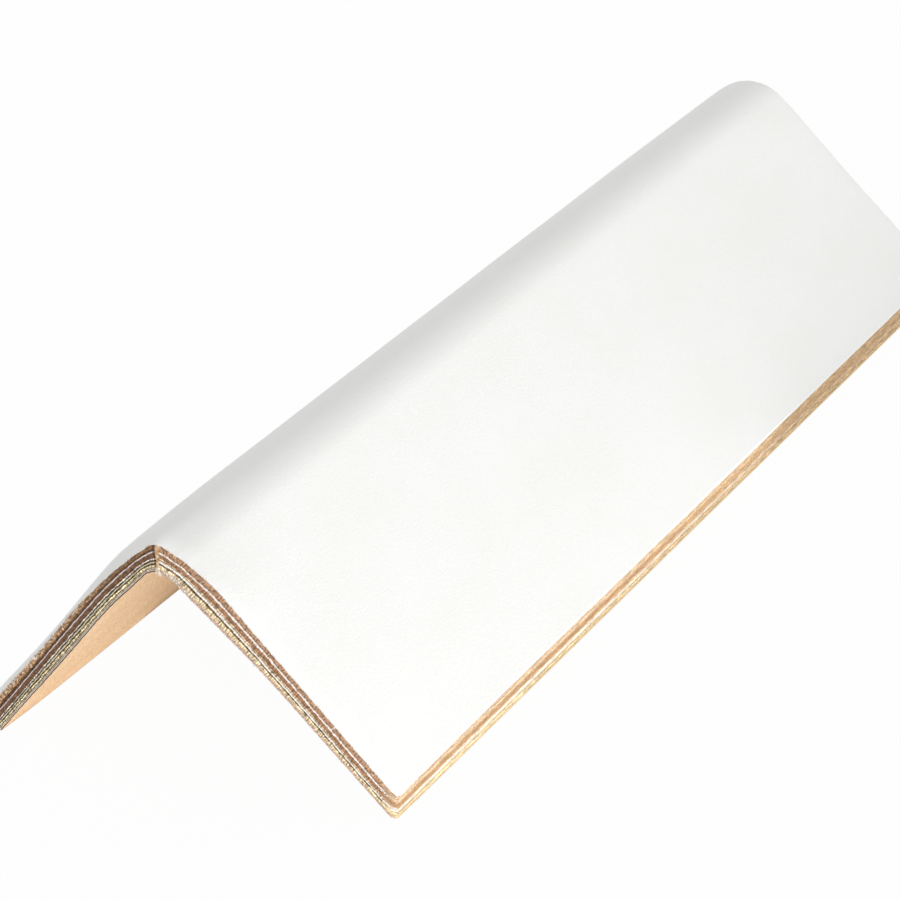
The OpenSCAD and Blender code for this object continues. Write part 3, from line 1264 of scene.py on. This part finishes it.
bm = bmesh.new()
bmesh.ops.create_grid(bm, x_segments=1, y_segments=1, size=FLOOR_SIZE)
mesh = bpy.data.meshes.new("floor")
bm.to_mesh(mesh)
bm.free()
mesh.materials.append(floor_paper())
floor = bpy.data.objects.new("floor", mesh)
bpy.context.collection.objects.link(floor)
print("floor of", 2 * FLOOR_SIZE, "m")

# %% The room
ROOM_LIGHT = 0.70


def white_room():
    """Even light all round, and plain white where the camera looks past the floor."""
    world = bpy.data.worlds.new("white_room")
    world.use_nodes = True
    tree = world.node_tree
    light = tree.nodes["Background"]
    light.inputs["Color"].default_value = WHITE
    light.inputs["Strength"].default_value = ROOM_LIGHT
    white = add(tree, "Background", {"Color": WHITE, "Strength": 1.0})
    both = add(tree, "MixShader", {0: seen_rays(tree), 1: light.outputs[0], 2: white.outputs[0]})
    tree.links.new(both.outputs[0], tree.nodes["World Output"].inputs["Surface"])
    return world


bpy.context.scene.world = white_room()
bpy.context.scene.view_settings.view_transform = "Standard"
print("room light", ROOM_LIGHT)

# %% Lamps
KEY_PLACE = Vector((0.56, -0.42, 0.032))
KEY_AIM = Vector((0.0, -0.03, 0.02))
KEY_SIZE = (0.30, 0.05)
KEY_POWER = 1.3
UP = Vector((0.0, 0.0, 1.0))
LIFT = 0.0003
# Each card has two corners on the floor, in metres, and a glow.
CARDS = {
    "outer_card": (((0.072, -0.60), (0.66, 0.30)), 1.25),
    "edge_card": (((0.037, -0.60), (0.072, 0.026)), 1.25),
    "inner_card": (((-0.034, -0.125), (0.034, -0.056)), 0.47),
    "deep_card": (((-0.034, -0.056), (-0.006, 0.03)), 0.2),
}


def soft_lamp(name, place, aim, size, power):
    """A rectangular lamp at a place, looking towards a point, that the camera doesn't see."""
    lamp = bpy.data.lights.new(name, "AREA")
    lamp.shape = "RECTANGLE"
    lamp.size, lamp.size_y = size
    lamp.energy = power
    piece = bpy.data.objects.new(name, lamp)
    piece.visible_camera = False
    bpy.context.collection.objects.link(piece)
    turn = (aim - place).to_track_quat("-Z", "Y").to_matrix().to_4x4()
    piece.matrix_world = Matrix.Translation(place) @ turn


def floor_card(name, corners, glow):
    """A card of light that lies on the floor between two corners and shines up."""
    low, high = (Vector((*corner, LIFT)) for corner in corners)
    size = high - low
    place = (low + high) / 2
    soft_lamp(name, place, place + UP, (size.x, size.y), glow * math.pi * size.x * size.y)


soft_lamp("low_key", KEY_PLACE, KEY_AIM, KEY_SIZE, KEY_POWER)
for name, (corners, glow) in CARDS.items():
    floor_card(name, corners, glow)
print("lamps", [light.name for light in bpy.data.lights])
